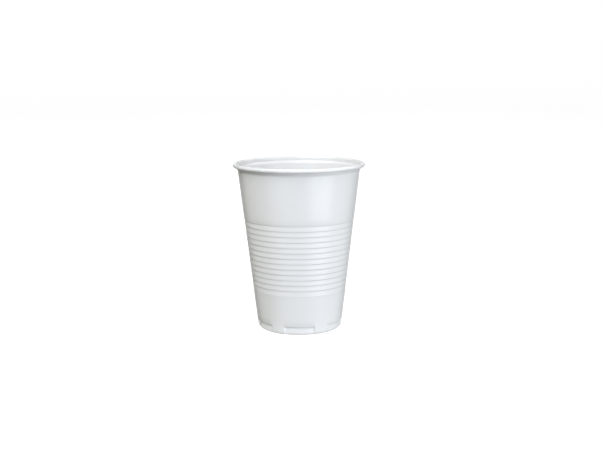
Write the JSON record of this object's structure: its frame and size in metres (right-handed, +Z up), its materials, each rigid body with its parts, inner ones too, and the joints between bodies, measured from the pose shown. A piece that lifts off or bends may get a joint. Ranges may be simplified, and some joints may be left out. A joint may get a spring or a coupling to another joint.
{
  "type": "disposable drinking cup",
  "caption": "Tapered round one-piece plastic cup with a rolled rim, a band of fine stepped ribs and a notched foot ring.",
  "frame": {"origin": "centre of the foot ring, at the level that the cup stands on", "axes": "+Z up along the cup's own axis; one stacking notch is centred on -Y, the front"},
  "size_m": [0.0704, 0.0702, 0.0892],
  "materials": {
    "cup": "white polystyrene, soft gloss"
  },
  "bodies": {
    "root": {"cup": "cup"}
  },
  "joints": []
}
